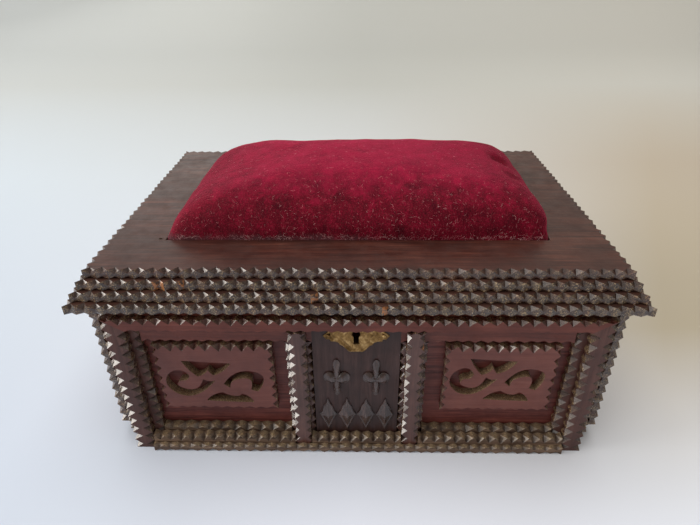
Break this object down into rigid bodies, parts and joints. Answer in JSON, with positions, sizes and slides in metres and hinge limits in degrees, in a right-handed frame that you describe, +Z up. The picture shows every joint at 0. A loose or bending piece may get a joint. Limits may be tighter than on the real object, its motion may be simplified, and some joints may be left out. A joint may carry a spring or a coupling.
{
  "type": "ditty box",
  "caption": "Chip-carved wooden keepsake box with layered strips, fretwork plaques, a brass keyhole plate and a hinged lid that carries a velvet pincushion.",
  "frame": {"origin": "middle of the footprint on the table", "axes": "+X to the right along the front, +Y from the front to the hinged back, +Z up"},
  "size_m": [0.2568, 0.1768, 0.133],
  "materials": {
    "case_wood": "dark red-brown stained and varnished",
    "strip_wood": "dark brown varnish over chip carving",
    "plaque_wood": "dark brown satin varnish",
    "panel_wood": "very dark satin varnish",
    "ornament_wood": "very dark varnish, carved",
    "lid_wood": "dark brown satin varnish, worn",
    "brass": "old tarnished brass",
    "iron": "dull iron",
    "velvet": "crimson cotton velvet"
  },
  "bodies": {
    "case": {"bottom_board": "case_wood", "front_wall": "case_wood", "back_wall": "case_wood", "left_wall": "case_wood", "right_wall": "case_wood", "front_top_rail_inner": "strip_wood", "front_top_rail_outer": "strip_wood", "back_top_rail_inner": "strip_wood", "back_top_rail_outer": "strip_wood", "left_top_rail_inner": "strip_wood", "left_top_rail_outer": "strip_wood", "right_top_rail_inner": "strip_wood", "right_top_rail_outer": "strip_wood", "front_base_rail_inner": "strip_wood", "front_base_rail_outer": "strip_wood", "back_base_rail_inner": "strip_wood", "back_base_rail_outer": "strip_wood", "left_base_rail_inner": "strip_wood", "left_base_rail_outer": "strip_wood", "right_base_rail_inner": "strip_wood", "right_base_rail_outer": "strip_wood", "front_left_post_inner": "strip_wood", "front_left_post_outer": "strip_wood", "front_right_post_inner": "strip_wood", "front_right_post_outer": "strip_wood", "back_left_post_inner": "strip_wood", "back_left_post_outer": "strip_wood", "back_right_post_inner": "strip_wood", "back_right_post_outer": "strip_wood", "left_pilaster_inner": "strip_wood", "left_pilaster_outer": "strip_wood", "right_pilaster_inner": "strip_wood", "right_pilaster_outer": "strip_wood", "front_left_plaque": "plaque_wood", "front_right_plaque": "plaque_wood", "left_plaque": "plaque_wood", "right_plaque": "plaque_wood", "centre_panel": "panel_wood", "centre_rosettes": "ornament_wood", "centre_lozenges": "ornament_wood", "escutcheon": "brass", "escutcheon_pins": "brass", "lock_case": "iron", "lock_screws": "iron", "left_hinge_case_leaf": "brass", "left_hinge_pin": "brass", "right_hinge_case_leaf": "brass", "right_hinge_pin": "brass", "hinge_case_screws": "iron"},
    "lid": {"lid_link_plate": "brass", "lid_link_screws": "iron", "left_hinge_lid_leaf": "brass", "right_hinge_lid_leaf": "brass", "hinge_lid_screws": "iron", "lid_top_board": "lid_wood", "lid_second_board": "strip_wood", "lid_third_board": "strip_wood", "lid_bottom_board": "strip_wood", "pincushion": "velvet"},
    "bolt": {"lock_bolt": "brass"}
  },
  "joints": [
    {"name": "lid_hinge", "type": "hinge", "parent": "case", "child": "lid", "pos_m": [0, 0.0848, 0.0862], "axis": [-1, 0, 0], "range_deg": [0, 105]},
    {"name": "bolt_slide", "type": "slide", "parent": "case", "child": "bolt", "axis": [1, 0, 0], "range_m": [0, 0.004]}
  ]
}
